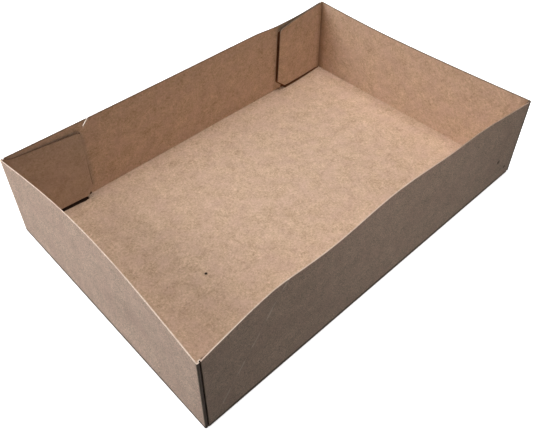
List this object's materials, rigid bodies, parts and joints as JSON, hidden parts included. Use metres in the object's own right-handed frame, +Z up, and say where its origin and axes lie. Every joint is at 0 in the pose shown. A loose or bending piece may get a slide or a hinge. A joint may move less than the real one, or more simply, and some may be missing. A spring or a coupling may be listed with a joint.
{
  "type": "cardboard tray",
  "caption": "Open rectangular tray folded from a single kraft board blank, with glued inner corner flaps and slit diagonal creases, for packing, carrying and serving goods.",
  "frame": {"origin": "middle of the base, on the surface that the tray stands on", "axes": "+X along the long walls, +Y along the short walls towards the back wall, +Z up"},
  "size_m": [0.254, 0.1696, 0.0562],
  "materials": {
    "kraft_board": "matte uncoated kraft board with a soft fibre mottle and pale cut edges"
  },
  "bodies": {
    "root": {"tray": "kraft_board"}
  },
  "joints": []
}
